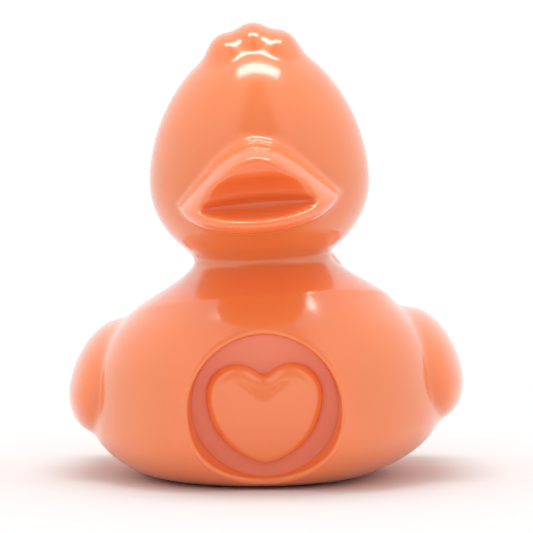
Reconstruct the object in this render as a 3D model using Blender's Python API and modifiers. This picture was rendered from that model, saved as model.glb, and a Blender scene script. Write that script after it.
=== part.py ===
"""A rubber duck, moulded in one piece as a hollow vinyl shell.

The duck faces -Y, its left wing is at +X and it sits on Z = 0. The origin is the centre of the flat base.

The skin is modelled as clay would be: full round forms for the hull, breast, neck, head, bill, wings, tail and
crest are pushed together, fused and softened where they meet. The crisp features are cut and raised after that:
the flat base, the round pocket on the breast, the heart in it, the cavity inside and the vent through the base.
"""

import math

import bmesh
import bpy
from mathutils import Euler, Vector

# All sizes are in millimetres and all angles in degrees.
MM = 0.001

# The hull is a low round boat whose stern sweeps upwards.
HULL_HALF_WIDTH = 32.3
HULL_FRONT = 36.0
HULL_BACK = 38.0
HULL_UP = 18.0
HULL_DOWN = 14.3
HULL_BACK_SET = 2.0
HULL_HEIGHT = 12.0
STERN_LIFT = 9.0

# The breast is a tall blunt dome that carries the neck.
BREAST_HALF_WIDTH = 31.6
BREAST_FRONT = 30.0
BREAST_BACK = 38.0
BREAST_UP = 25.8
BREAST_DOWN = 14.0
BREAST_FORWARD = 8.0
BREAST_BLUNTNESS = 2.8
SHOULDER_BREADTH = 2.5
BOW_LIFT = 1.5
BREAST_ROLL = -1.5

# The tail is a broad fan that turns up from the stern.
TAIL_HALF_WIDTH = 15.2
TAIL_LENGTH = 20.0
TAIL_THICKNESS = 11.5
TAIL_PITCH = 40.0
TAIL_SQUARENESS = 3.0
TAIL_ROOT_BACK = 29.5
TAIL_ROOT_HEIGHT = 26.0
TAIL_TURN = 1.5

# The wings lie along the sides of the hull, each a flattened drop with feather tips at its trailing edge.
WING_THICKNESS = 13.4
WING_FRONT = 19.0
WING_BACK = 21.0
WING_UP = 11.8
WING_DOWN = 8.8
WING_OUT = 29.5
WING_BACK_SET = 3.0
WING_HEIGHT = 17.2
WING_SKEW = 0.4
WING_LEAN_IN = 13.0
WING_TOE_IN = 5.0
WING_PITCH = 7.0
FEATHER_COUNT = 3
FEATHER_RADIUS = 4.6
FEATHER_LENGTH = 9.0
FEATHER_THICKNESS_SHARE = 0.8
FEATHER_PITCH = 5.4
FEATHER_FAN = 14.0
FEATHER_STAGGER = 2.2

# The neck is a round column that flares into the shoulders.
NECK_WAIST_RADIUS = 12.2
NECK_WAIST_HEIGHT = 40.6
NECK_FLARE = 4.4
NECK_FLARE_HEIGHT = 5.5
NECK_FLARE_CURVE = 1.4
NECK_TOP_HEIGHT = 50.0
NECK_FORWARD = 8.5
NECK_DEPTH_RATIO = 1.06
NECK_PITCH = -6.0
NECK_ROLL = -3.0

# The head is an egg that stands on its broad end.
HEAD_HALF_WIDTH = 20.2
HEAD_FRONT = 21.0
HEAD_BACK = 20.5
HEAD_UP = 26.4
HEAD_DOWN = 16.8
HEAD_HEIGHT = 55.0
HEAD_FORWARD = 10.0
HEAD_TAPER = 1.86

# The bill is a broad blunt scoop, gabled above and round below. Its front is dished into a mouth inside a lip.
BILL_HALF_WIDTH = 14.5
BILL_LENGTH = 15.5
BILL_UP = 11.7
BILL_DOWN = 5.0
BILL_GABLE_APEX = 16.5
BILL_HEIGHT = 52.8
BILL_ROOT_FORWARD = 27.5
BILL_BLUNTNESS = 2.8
BILL_TILT = -3.1
BILL_DROOP = 6.0
LIP_WIDTH = 1.5
UPPER_LIP_WIDTH = 0.7
LOWER_LIP_WIDTH = 4.0
MOUTH_DEPTH = 5.5
MOUTH_FORWARD = 14.0
MOUTH_SLOPE = 20.0
MOUTH_SQUARENESS = 4.0

# The parting of the bill is a wide low slot in the mouth's floor.
SLOT_HALF_WIDTH = 10.2
SLOT_DEPTH = 4.5
SLOT_HEIGHT = 3.0
SLOT_FORWARD = 9.5
SLOT_RAISE = 0.5
SLOT_SQUARENESS = 3.0

# The crest is a tuft of round locks swept back over the crown.
LOCK_COUNT = 3
LOCK_PITCH = 4.1
LOCK_ASIDE = -0.7
LOCK_HALF_WIDTH = 4.2
LOCK_LENGTH = 7.5
LOCK_HEIGHT = 4.8
LOCK_SINK = 2.5
LOCK_SPLAY = 4.5
LOCK_STAGGER = 0.2
LOCK_SWEEP = -6.0

# The breast carries a round pocket with a flat floor and a raised heart.
POCKET_RADIUS = 13.4
POCKET_DRAFT = 10.0
POCKET_FLOOR_FORWARD = 31.1
POCKET_HEIGHT = 15.6
POCKET_PITCH = 10.0
POCKET_CUT_DEPTH = 12.0
HEART_LOBE_RADIUS = 5.5
HEART_LOBE_SPREAD = 4.95
HEART_SIDE_RADIUS = 13.0
HEART_TIP_RADIUS = 4.0
HEART_TIP_DROP = 9.4
HEART_NOTCH_RADIUS = 1.75
HEART_LOBE_RAISE = 2.7
HEART_RISE = 3.0
HEART_ROUNDING = 2.3
HEART_CROWN = 0.8
HEART_CROWN_RINGS = (0.7, 0.35)
HEART_SINK = 1.2

# The shell and its vent.
WALL = 2.4
VENT_RADIUS = 2.2
VENT_BACK_SET = 9.0

# The soft body leans a little to its right.
BODY_LEAN = -1.7

# Mesh fineness. The grids that fuse the clay are given as cells across the hull's half width.
CLAY_CELLS = 30
CAVITY_CELLS = 14
CLAY_SMOOTHING_STEPS = 4
CAVITY_SMOOTHING_STEPS = 6
CLAY_FACES_KEPT = 0.16
CAVITY_FACES_KEPT = 0.35
BALL_SEGMENTS = 64
BALL_RINGS = 40
NECK_ROWS = 14
POCKET_SEGMENTS = 96
VENT_SEGMENTS = 32
SHOULDER_STEPS = 4
NOTCH_STEPS = 5
LOBE_STEPS = 14
SIDE_STEPS = 5
TIP_STEPS = 5
GABLE_ROUNDING = 6.0
CUTTER_MARGIN = 20.0

VINYL_COLOUR = (0.95, 0.26, 0.09, 1.0)
VINYL_ROUGHNESS = 0.18


def clear_scene():
    """Removes the objects of the scene that the script starts in."""
    for old in list(bpy.data.objects):
        bpy.data.objects.remove(old, do_unlink=True)


def new_collection(name):
    """A collection of the scene with this name."""
    collection = bpy.data.collections.new(name)
    bpy.context.scene.collection.children.link(collection)
    return collection


def add_object(name, mesh, collection, parent=None):
    """An object with this mesh, under its parent."""
    made = bpy.data.objects.new(name, mesh)
    collection.objects.link(made)
    made.parent = parent
    return made


def helper(name, mesh, collection, parent=None):
    """A form or a cutter, which isn't part of the duck itself."""
    made = add_object(name, mesh, collection, parent)
    made.hide_render = True
    made.display_type = "WIRE"
    return made


def place(thing, x, y, z, pitch=0.0, roll=0.0, turn=0.0):
    """Puts an object at a point in millimetres and turns it about X (pitch), Y (roll) and Z (turn)."""
    thing.location = Vector((x, y, z)) * MM
    thing.rotation_euler = Euler([math.radians(angle) for angle in (pitch, roll, turn)], "XYZ")
    return thing


def power_mean(a, b, exponent):
    """The length of (a, b) with this exponent: 2 gives a round outline, less a pointed one, more a boxy one."""
    return (a**exponent + b**exponent) ** (1 / exponent)


def ball(
    name, half_width, front, back, up, down, outline=2.0, full_front=2.0, apex=None,
    squareness=2.0, sweep=None,
):
    """A ball stretched by its own amount to each side, front, back, top and bottom, in millimetres.

    outline shapes the upper half as it is seen from the front, and full_front the front half as it is seen from
    the side. squareness does the same for both ends at once. apex turns the upper half into a gable whose
    straight sides would meet there, with its top rounded
    off at up. sweep moves the finished points.
    """
    shape = bmesh.new()
    bmesh.ops.create_uvsphere(shape, u_segments=BALL_SEGMENTS, v_segments=BALL_RINGS, radius=1.0)
    for vert in shape.verts:
        x, y, z = vert.co.normalized()
        wide = abs(x) / half_width
        deep = abs(y) / (front if y < 0 else back)
        tall = abs(z) / (up if z > 0 else down)
        if apex and z > 0:
            ring = power_mean(wide + z / apex, tall, GABLE_ROUNDING)
        else:
            ring = power_mean(wide, tall, outline if z > 0 else 2.0)
        upright = tall**2 / (wide**2 + tall**2) if wide + tall > 0 else 0.0
        fullness = squareness + (full_front - 2.0) * upright if y < 0 else squareness
        point = Vector((x, y, z)) / power_mean(ring, deep, fullness)
        vert.co = (sweep(point) if sweep else point) * MM
    mesh = bpy.data.meshes.new(name)
    shape.to_mesh(mesh)
    shape.free()
    return mesh


def lifted(lift, reach, towards):
    """A sweep that lifts the front (towards -1) or the back (+1) with the square of the way to its end."""

    def sweep(point):
        along = max(0.0, point.y * towards) / reach
        return point + Vector((0, 0, lift * along**2))

    return sweep


def hull_form(name, collection, parent, inset=0.0):
    """The hull, or the same form drawn in by inset."""
    mesh = ball(
        name,
        HULL_HALF_WIDTH - inset,
        HULL_FRONT - inset,
        HULL_BACK - inset,
        HULL_UP - inset,
        HULL_DOWN - inset,
        sweep=lifted(STERN_LIFT, HULL_BACK, 1),
    )
    return place(helper(name, mesh, collection, parent), 0, HULL_BACK_SET, HULL_HEIGHT)


def breast_form(name, collection, parent, inset=0.0):
    """The dome of breast and shoulders, or the same form drawn in by inset."""
    mesh = ball(
        name,
        BREAST_HALF_WIDTH - inset,
        BREAST_FRONT - inset,
        BREAST_BACK - inset,
        BREAST_UP - inset,
        BREAST_DOWN - inset,
        outline=SHOULDER_BREADTH,
        full_front=BREAST_BLUNTNESS,
        sweep=lifted(BOW_LIFT, BREAST_FRONT, -1),
    )
    return place(helper(name, mesh, collection, parent), 0, -BREAST_FORWARD, HULL_HEIGHT, roll=BREAST_ROLL)


def neck_form(name, collection, parent, inset=0.0):
    """The neck as a turned profile: a straight column whose foot flares with a power of the way down.

    It is turned about its waist, so it leans as the head does.
    """
    foot = NECK_WAIST_HEIGHT - NECK_FLARE_HEIGHT
    points = [(0, 0, (NECK_TOP_HEIGHT - NECK_WAIST_HEIGHT) * MM)]
    for row in range(NECK_ROWS + 1):
        height = NECK_TOP_HEIGHT + (foot - NECK_TOP_HEIGHT) * row / NECK_ROWS
        below_waist = max(0.0, NECK_WAIST_HEIGHT - height) / NECK_FLARE_HEIGHT
        radius = NECK_WAIST_RADIUS + NECK_FLARE * below_waist**NECK_FLARE_CURVE - inset
        points.append((radius * MM, 0, (height - NECK_WAIST_HEIGHT) * MM))
    points.append((0, 0, -NECK_FLARE_HEIGHT * MM))
    profile = bpy.data.meshes.new(name)
    profile.from_pydata(points, [(i, i + 1) for i in range(len(points) - 1)], [])
    neck = helper(name, profile, collection, parent)
    place(neck, 0, -NECK_FORWARD, NECK_WAIST_HEIGHT, pitch=NECK_PITCH, roll=NECK_ROLL)
    neck.scale = (1, NECK_DEPTH_RATIO, 1)
    turn = neck.modifiers.new("Turn", "SCREW")
    turn.steps = BALL_SEGMENTS
    turn.render_steps = BALL_SEGMENTS
    turn.use_merge_vertices = True
    turn.merge_threshold = 0.00001
    return neck


def head_form(name, collection, parent, inset=0.0):
    """The egg of the head, or the same form drawn in by inset."""
    mesh = ball(
        name,
        HEAD_HALF_WIDTH - inset,
        HEAD_FRONT - inset,
        HEAD_BACK - inset,
        HEAD_UP - inset,
        HEAD_DOWN - inset,
        outline=HEAD_TAPER,
    )
    return place(helper(name, mesh, collection, parent), 0, -HEAD_FORWARD, HEAD_HEIGHT)


def tail_form(collection, parent):
    """The tail fan."""
    mesh = ball(
        "tail_form", TAIL_HALF_WIDTH, TAIL_LENGTH, TAIL_LENGTH, TAIL_THICKNESS / 2, TAIL_THICKNESS / 2,
        squareness=TAIL_SQUARENESS,
    )
    swing = math.radians(TAIL_TURN)
    tail = helper("tail_form", mesh, collection, parent)
    x = TAIL_ROOT_BACK * math.sin(swing)
    y = TAIL_ROOT_BACK * math.cos(swing)
    return place(tail, x, y, TAIL_ROOT_HEIGHT, pitch=TAIL_PITCH, turn=-TAIL_TURN)


def add_wing(side, collection, parent):
    """One wing, on the side +1 or -1: a flat drop with a row of feather tips at its trailing edge."""
    name = "left_wing" if side > 0 else "right_wing"
    half = WING_THICKNESS / 2
    mesh = ball(f"{name}_form", half, WING_FRONT, WING_BACK, WING_UP, WING_DOWN)
    drop = helper(f"{name}_form", mesh, collection, parent)
    place(
        drop,
        side * WING_OUT,
        WING_BACK_SET,
        WING_HEIGHT + side * WING_SKEW,
        pitch=WING_PITCH,
        roll=-side * WING_LEAN_IN,
        turn=side * WING_TOE_IN,
    )
    for index in range(FEATHER_COUNT):
        row = index - (FEATHER_COUNT - 1) / 2
        feather_name = f"{name}_feather_{index}"
        mesh = ball(
            feather_name,
            half * FEATHER_THICKNESS_SHARE,
            FEATHER_LENGTH,
            FEATHER_LENGTH,
            FEATHER_RADIUS,
            FEATHER_RADIUS,
        )
        feather = helper(feather_name, mesh, collection, drop)
        back = WING_BACK - FEATHER_RADIUS - abs(row) * FEATHER_STAGGER
        place(feather, 0, back, row * FEATHER_PITCH, pitch=FEATHER_FAN * row)


def bill_place(thing, forward):
    """Puts a form of the bill on its axis, this far in front of the bill's root."""
    droop = math.radians(BILL_DROOP)
    return place(
        thing,
        0,
        -BILL_ROOT_FORWARD - forward * math.cos(droop),
        BILL_HEIGHT - forward * math.sin(droop),
        pitch=BILL_DROOP,
        roll=BILL_TILT,
    )


def bill_form(collection, parent):
    """The scoop of the bill."""
    mesh = ball(
        "bill_form",
        BILL_HALF_WIDTH,
        BILL_LENGTH,
        BILL_LENGTH,
        BILL_UP,
        BILL_DOWN,
        full_front=BILL_BLUNTNESS,
        apex=BILL_GABLE_APEX,
    )
    return bill_place(helper("bill_form", mesh, collection, parent), 0)


def mouth_cutter(collection, parent):
    """The dish of the mouth: the bill's own outline drawn in by the lip, leaning back towards its floor."""
    mesh = ball(
        "mouth_cutter",
        BILL_HALF_WIDTH - LIP_WIDTH,
        MOUTH_DEPTH,
        MOUTH_DEPTH,
        BILL_UP - UPPER_LIP_WIDTH,
        BILL_DOWN - LOWER_LIP_WIDTH,
        apex=BILL_GABLE_APEX - UPPER_LIP_WIDTH,
        squareness=MOUTH_SQUARENESS,
    )
    mouth = helper("mouth_cutter", mesh, collection, parent)
    bill_place(mouth, MOUTH_FORWARD)
    mouth.rotation_euler.x += math.radians(MOUTH_SLOPE)
    return mouth


def slot_cutter(collection, parent):
    """The slot between the two halves of the bill."""
    half = SLOT_HEIGHT / 2
    mesh = ball(
        "slot_cutter", SLOT_HALF_WIDTH, SLOT_DEPTH, SLOT_DEPTH, half, half, squareness=SLOT_SQUARENESS
    )
    slot = bill_place(helper("slot_cutter", mesh, collection, parent), SLOT_FORWARD)
    slot.location.z += SLOT_RAISE * MM
    return slot


def crown_height(across):
    """How high the head's outline stands over its centre, this far to the side."""
    return HEAD_UP * (1 - (abs(across) / HEAD_HALF_WIDTH) ** HEAD_TAPER) ** (1 / HEAD_TAPER)


def add_crest(collection, parent):
    """The locks of the crest, side by side over the crown."""
    for index in range(LOCK_COUNT):
        across = LOCK_ASIDE + (index - (LOCK_COUNT - 1) / 2) * LOCK_PITCH
        name = f"crest_lock_{index}"
        mesh = ball(name, LOCK_HALF_WIDTH, LOCK_LENGTH, LOCK_LENGTH, LOCK_HEIGHT, LOCK_HEIGHT)
        lock = helper(name, mesh, collection, parent)
        place(
            lock,
            across,
            -HEAD_FORWARD - abs(across) * LOCK_STAGGER,
            HEAD_HEIGHT + crown_height(across) - LOCK_SINK,
            pitch=LOCK_SWEEP,
            roll=across * LOCK_SPLAY,
        )


def boolean(target, operation, other, name):
    """Adds a Boolean modifier."""
    modifier = target.modifiers.new(name, "BOOLEAN")
    modifier.operation = operation
    if isinstance(other, bpy.types.Collection):
        modifier.operand_type = "COLLECTION"
        modifier.collection = other
    else:
        modifier.object = other


def fuse(target, cells, smoothing_steps, faces_kept):
    """Fuses the forms on a fine grid, softens the joins and thins the mesh."""
    remesh = target.modifiers.new("Fuse", "REMESH")
    remesh.mode = "VOXEL"
    remesh.voxel_size = HULL_HALF_WIDTH / cells * MM
    soften = target.modifiers.new("Soften", "SMOOTH")
    soften.factor = 0.5
    soften.iterations = smoothing_steps
    thin = target.modifiers.new("Thin", "DECIMATE")
    thin.ratio = faces_kept


def pocket_place(thing, ahead_of_floor=0.0):
    """Puts an object whose axis is its own Z on the pocket's axis, which slopes down and out of the breast."""
    pitch = math.radians(POCKET_PITCH)
    out = Vector((0, -math.cos(pitch), -math.sin(pitch)))
    centre = Vector((0, -POCKET_FLOOR_FORWARD, POCKET_HEIGHT)) + out * ahead_of_floor
    return place(thing, *centre, pitch=90 + POCKET_PITCH)


def cylinder(name, collection, parent, radius_low, radius_high, depth, segments=POCKET_SEGMENTS):
    """A cutter that runs up its own Z from 0 to depth, with these radii at its two ends."""
    shape = bmesh.new()
    bmesh.ops.create_cone(
        shape,
        cap_ends=True,
        segments=segments,
        radius1=radius_low * MM,
        radius2=radius_high * MM,
        depth=depth * MM,
    )
    bmesh.ops.translate(shape, verts=shape.verts, vec=(0, 0, depth * MM / 2))
    mesh = bpy.data.meshes.new(name)
    shape.to_mesh(mesh)
    shape.free()
    return helper(name, mesh, collection, parent)


def box(name, collection, parent, size, centre):
    """A box cutter of this size about this centre."""
    shape = bmesh.new()
    bmesh.ops.create_cube(shape, size=1.0)
    bmesh.ops.scale(shape, verts=shape.verts, vec=Vector(size) * MM)
    mesh = bpy.data.meshes.new(name)
    shape.to_mesh(mesh)
    shape.free()
    return place(helper(name, mesh, collection, parent), *centre)


def arc(centre, radius, start, end, steps):
    """Points along an arc from one angle to another, in radians, its last point left to the next arc."""
    angles = [start + (end - start) * step / steps for step in range(steps)]
    return [(centre[0] + radius * math.cos(a), centre[1] + radius * math.sin(a)) for a in angles]


def side_centre(lobe, tip):
    """The centre of the circle that holds both the lobe's and the tip's circle and touches them."""
    to_lobe = HEART_SIDE_RADIUS - HEART_LOBE_RADIUS
    to_tip = HEART_SIDE_RADIUS - HEART_TIP_RADIUS
    gap = tip - lobe
    along = (to_lobe**2 - to_tip**2 + gap.length_squared) / (2 * gap.length)
    way = gap.normalized()
    return lobe + way * along + Vector((way.y, -way.x)) * math.sqrt(to_lobe**2 - along**2)


def heart_outline():
    """Points round the heart: a hollow arc at the notch, a round lobe, a full side and a round tip.

    The notch's arc touches both lobes, and each side is an arc that runs smoothly into a lobe and the tip.
    """
    lobe = (HEART_LOBE_SPREAD, HEART_LOBE_RAISE)
    reach = HEART_LOBE_RADIUS + HEART_NOTCH_RADIUS
    notch = (0.0, HEART_LOBE_RAISE + math.sqrt(reach**2 - HEART_LOBE_SPREAD**2))
    towards_lobe = math.atan2(lobe[1] - notch[1], lobe[0])
    tip = (0.0, HEART_LOBE_RAISE - HEART_TIP_DROP)
    side = side_centre(Vector(lobe), Vector(tip))
    lobe_end = math.atan2(lobe[1] - side.y, lobe[0] - side.x)
    side_end = math.atan2(tip[1] - side.y, tip[0] - side.x)
    half = arc(notch, HEART_NOTCH_RADIUS, -math.pi / 2, towards_lobe, NOTCH_STEPS)
    half += arc(lobe, HEART_LOBE_RADIUS, towards_lobe + math.pi, lobe_end, LOBE_STEPS)
    half += arc(side, HEART_SIDE_RADIUS, lobe_end, side_end, SIDE_STEPS)
    half += arc(tip, HEART_TIP_RADIUS, side_end, -math.pi / 2, TIP_STEPS)
    half.append((0.0, tip[1] - HEART_TIP_RADIUS))
    return half + [(-x, y) for x, y in reversed(half[1:-1])]


def heart_levels():
    """The scale and height of each ring of the heart: a plain wall, a round shoulder and a low crown."""
    levels = [(1.0, -HEART_SINK), (1.0, HEART_RISE - HEART_ROUNDING)]
    for step in range(1, SHOULDER_STEPS + 1):
        angle = math.pi / 2 * step / SHOULDER_STEPS
        drawn_in = HEART_ROUNDING * (1 - math.cos(angle)) / (HEART_LOBE_SPREAD + HEART_LOBE_RADIUS)
        levels.append((1 - drawn_in, HEART_RISE - HEART_ROUNDING * (1 - math.sin(angle))))
    edge = levels[-1][0]
    for share in HEART_CROWN_RINGS:
        levels.append((edge * share, HEART_RISE + HEART_CROWN * (1 - share**2)))
    return levels


def heart_form(collection, parent):
    """The heart as a loft of its outline, which stands on the pocket's floor."""
    outline = heart_outline()
    shape = bmesh.new()
    rings = [
        [shape.verts.new((x * scale * MM, y * scale * MM, height * MM)) for x, y in outline]
        for scale, height in heart_levels()
    ]
    for lower, upper in zip(rings, rings[1:]):
        for index in range(len(outline)):
            after = (index + 1) % len(outline)
            shape.faces.new((lower[index], lower[after], upper[after], upper[index]))
    shape.faces.new(rings[0])
    shape.faces.new(rings[-1])
    bmesh.ops.recalc_face_normals(shape, faces=shape.faces)
    mesh = bpy.data.meshes.new("heart_form")
    shape.to_mesh(mesh)
    shape.free()
    return pocket_place(helper("heart_form", mesh, collection, parent))


def vinyl():
    """Glossy orange vinyl."""
    material = bpy.data.materials.new("orange_vinyl")
    material.use_nodes = True
    shader = material.node_tree.nodes["Principled BSDF"]
    shader.inputs["Base Color"].default_value = VINYL_COLOUR
    shader.inputs["Roughness"].default_value = VINYL_ROUGHNESS
    shader.inputs["Metallic"].default_value = 0.0
    return material


def main():
    clear_scene()
    duck_collection = new_collection("rubber_duck")
    forms = new_collection("forms")
    cavity_forms = new_collection("cavity_forms")
    cutters = new_collection("cutters")

    posture = bpy.data.objects.new("posture", None)
    duck_collection.objects.link(posture)
    posture.rotation_euler.y = math.radians(BODY_LEAN)

    breast_form("breast_form", forms, posture)
    neck_form("neck_form", forms, posture)
    head_form("head_form", forms, posture)
    tail_form(forms, posture)
    bill_form(forms, posture)
    add_crest(forms, posture)
    for side in (1, -1):
        add_wing(side, forms, posture)

    duck = hull_form("duck", duck_collection, posture)
    duck.hide_render = False
    duck.display_type = "TEXTURED"
    duck.data.materials.append(vinyl())
    boolean(duck, "UNION", forms, "Push forms together")
    boolean(duck, "DIFFERENCE", mouth_cutter(cutters, posture), "Dish the mouth")
    boolean(duck, "DIFFERENCE", slot_cutter(cutters, posture), "Part the bill")
    fuse(duck, CLAY_CELLS, CLAY_SMOOTHING_STEPS, CLAY_FACES_KEPT)

    reach = 2 * (HULL_BACK + CUTTER_MARGIN)
    below = box("base_cutter", cutters, None, (reach, reach, CUTTER_MARGIN), (0, 0, -CUTTER_MARGIN / 2))
    boolean(duck, "DIFFERENCE", below, "Cut the flat base")

    mouth_radius = POCKET_RADIUS + POCKET_CUT_DEPTH * math.tan(math.radians(POCKET_DRAFT))
    pocket = cylinder("pocket_cutter", cutters, posture, POCKET_RADIUS, mouth_radius, POCKET_CUT_DEPTH)
    boolean(duck, "DIFFERENCE", pocket_place(pocket), "Sink the pocket")
    boolean(duck, "UNION", heart_form(cutters, posture), "Raise the heart")

    breast_form("breast_cavity", cavity_forms, posture, WALL)
    neck_form("neck_cavity", cavity_forms, posture, WALL)
    head_form("head_cavity", cavity_forms, posture, WALL)
    cavity = hull_form("cavity", cutters, posture, WALL)
    boolean(cavity, "UNION", cavity_forms, "Join the hollows")
    fuse(cavity, CAVITY_CELLS, CAVITY_SMOOTHING_STEPS, CAVITY_FACES_KEPT)
    backing_radius = POCKET_RADIUS + WALL
    backing = cylinder("pocket_backing", cutters, posture, backing_radius, backing_radius, CUTTER_MARGIN)
    boolean(cavity, "DIFFERENCE", pocket_place(backing, ahead_of_floor=-WALL), "Back the pocket")
    floor = box("cavity_floor", cutters, None, (reach, reach, CUTTER_MARGIN), (0, 0, WALL - CUTTER_MARGIN / 2))
    boolean(cavity, "DIFFERENCE", floor, "Keep the base wall")
    boolean(duck, "DIFFERENCE", cavity, "Hollow the shell")

    vent = cylinder("vent_cutter", cutters, None, VENT_RADIUS, VENT_RADIUS, 3 * WALL, segments=VENT_SEGMENTS)
    place(vent, 0, VENT_BACK_SET, -WALL)
    boolean(duck, "DIFFERENCE", vent, "Open the vent")


main()
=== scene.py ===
# %% [markdown]
# # A glossy rubber duck, drawn as one skin over blended clay
#
# The real duck is one hollow shell of soft vinyl, cast in a mould. Its maker first sculpted it from round
# masses that melt into each other: hull, breast, neck, head, bill, wings, tail and crest. Only a few places
# are crisp: the flat base, the lip of the mouth, the round pocket on the breast and the heart in it.
#
# Blender could join such masses with metaballs or a Remesh modifier, but both leave an uneven mesh that blurs
# the crisp places. Here the masses are distance formulas instead. A smooth minimum melts them together, and a
# grid of rays, combed to suit the duck, is stretched over the result. Its rings run straight along the
# pocket's lip and the heart's outline, so those stay sharp while the rest stays smooth.

# %% Load the frame and the solid model
import math

import bpy
import numpy as np
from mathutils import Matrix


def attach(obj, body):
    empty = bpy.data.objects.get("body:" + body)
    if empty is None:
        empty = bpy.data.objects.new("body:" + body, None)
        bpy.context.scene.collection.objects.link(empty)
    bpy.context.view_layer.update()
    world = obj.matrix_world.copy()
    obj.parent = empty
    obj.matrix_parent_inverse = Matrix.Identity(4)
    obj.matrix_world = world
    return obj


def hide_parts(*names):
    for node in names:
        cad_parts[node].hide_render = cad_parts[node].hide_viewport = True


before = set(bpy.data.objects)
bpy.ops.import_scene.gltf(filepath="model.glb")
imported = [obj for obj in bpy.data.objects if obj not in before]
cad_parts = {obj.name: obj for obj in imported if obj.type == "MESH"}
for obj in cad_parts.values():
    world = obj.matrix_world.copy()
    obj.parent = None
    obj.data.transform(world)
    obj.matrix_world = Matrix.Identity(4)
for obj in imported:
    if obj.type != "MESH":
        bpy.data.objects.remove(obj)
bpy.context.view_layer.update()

# %% [markdown]
# ## The sizes
#
# The skin follows the solid model, so it starts from the same sizes. They are in millimetres and degrees, in
# the duck's own posture: upright, facing -Y, with the base's centre at the origin. The posture is turned into
# the frame, and into metres, at the very end, when the mesh is written.

# %% Sizes of the round masses
MM = 0.001
HULL = dict(half_width=32.3, front=36.0, back=38.0, up=18.0, down=14.3)
HULL_PLACE = (0.0, 2.0, 12.0)
STERN_LIFT = 9.0
BREAST = dict(half_width=31.6, front=30.0, back=38.0, up=25.8, down=14.0, outline=2.5, full_front=2.8)
BREAST_PLACE = (0.0, -8.0, 12.0)
BREAST_ROLL = -1.5
BOW_LIFT = 1.5
HEAD = dict(half_width=20.2, front=21.0, back=20.5, up=26.4, down=16.8, outline=1.86)
HEAD_PLACE = (0.0, -10.0, 55.0)
NECK = dict(waist_radius=12.2, waist_height=40.6, flare=4.4, flare_height=5.5, curve=1.4, depth_ratio=1.06)
NECK_FORWARD = 8.5
NECK_PITCH, NECK_ROLL = -9.0, -3.0
NECK_FRONT_SHARE = 0.6
TAIL = dict(half_width=15.2, front=20.0, back=20.0, up=5.75, down=5.75, depth_power=3.0)
TAIL_ROOT = (29.5, 26.0)
TAIL_PITCH = 40.0
TAIL_TURN = 1.5
BODY_LEAN = -1.7
LIFT_REACH = 1.4
NECK_TOP, NECK_FLARE_REACH, NECK_SLACK = 52.0, 1.5, 0.9
HULL_MELT, HEAD_MELT, NECK_MELT, TAIL_MELT = 4.0, 2.0, 5.0, 5.0
print("masses: hull, breast, neck, head and tail")

# %% Sizes of the wings, the bill and the crest
WING = dict(half_width=6.7, front=19.0, back=21.0, up=11.8, down=8.8)
WING_OUT, WING_BACK_SET, WING_HEIGHT, WING_SKEW = 29.5, 3.0, 17.2, 0.4
WING_LEAN_IN, WING_TOE_IN, WING_PITCH = 14.0, 5.0, 3.0
FEATHER_RADIUS, FEATHER_LENGTH, FEATHER_SHARE = 4.6, 9.0, 0.8
FEATHER_PITCH, FEATHER_FAN, FEATHER_STAGGER = 4.6, 14.0, 2.2
BILL = dict(half_width=14.5, front=15.5, back=15.5, up=11.6, down=5.0, full_front=2.8, apex=16.5)
BILL_ROOT = (27.5, 52.8)
BILL_TILT, BILL_DROOP = -3.1, 6.0
MOUTH = dict(half_width=13.0, front=5.5, back=5.5, up=13.0, down=1.0, apex=17.0, depth_power=4.0)
PALATE = dict(half_width=10.8, front=3.0, back=3.0, up=3.6, down=2.4)
PALATE_FORWARD, PALATE_RAISE = 10.6, 2.2
MOUTH_FORWARD, MOUTH_SLOPE = 14.0, 18.0
SLOT = dict(half_width=10.2, front=3.6, back=3.6, up=1.4, down=1.4, depth_power=3.0)
SLOT_FORWARD, SLOT_RAISE = 9.8, 0.5
LOCK = dict(half_width=4.4, front=7.5, back=7.5, up=4.8, down=4.8)
LOCK_PITCH, LOCK_SINK, LOCK_SPLAY, LOCK_ASIDE, LOCK_STEP = 4.1, 2.1, 4.5, -0.4, 0.7
LOCK_SWEEP, LOCK_STAGGER = -6.0, 0.2
GABLE_ROUNDING = 6.0
FEATHER_MELT, LOCK_MELT, CREST_MELT, BILL_MELT = 0.8, 1.6, 2.0, 1.8
WING_MELT, WING_TOP_MELT, WING_TOP_FROM, WING_TOP_RISE = 1.2, 3.0, 20.0, 8.0
MOUTH_ROUNDING, PALATE_ROUNDING, SLOT_ROUNDING = 0.8, 1.2, 0.8
print("limbs: 2 wings with 3 feather tips each, bill with its mouth, 3 crest locks")

# %% Sizes of the pocket, the heart and the shell
POCKET_RADIUS = 13.4
POCKET_DRAFT = 10.0
POCKET_FLOOR_FORWARD, POCKET_HEIGHT, POCKET_PITCH = 31.1, 15.6, 10.0
HEART_LOBE_RADIUS, HEART_LOBE_SPREAD, HEART_LOBE_RAISE = 5.5, 4.95, 2.4
HEART_TIP_RADIUS, HEART_TIP_DROP, HEART_NOTCH_RADIUS = 4.0, 9.1, 1.75
HEART_SIDE_RADIUS = 13.0
HEART_RISE, HEART_ROUNDING, HEART_CROWN = 3.0, 2.3, 0.8
WALL = 2.4
VENT_RADIUS, VENT_BACK_SET = 2.2, 9.0
BASE_ROUNDING = 1.2
heart_width = 2 * (HEART_LOBE_SPREAD + HEART_LOBE_RADIUS)
print("crisp places: pocket", 2 * POCKET_RADIUS, "mm across, heart", heart_width, "mm wide")

# %% [markdown]
# ## Distance formulas for the masses
#
# Each mass is a ball stretched by its own amount to each side. Dividing a point by those six sizes turns the
# ball's surface into "length one". Changing how the three parts are added up makes the ball fuller or more
# pointed: with the power 2 it is round, above 2 boxy, below 2 pointed. The bill's upper half is a gable, so
# there the width grows with the height before it is added.

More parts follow.
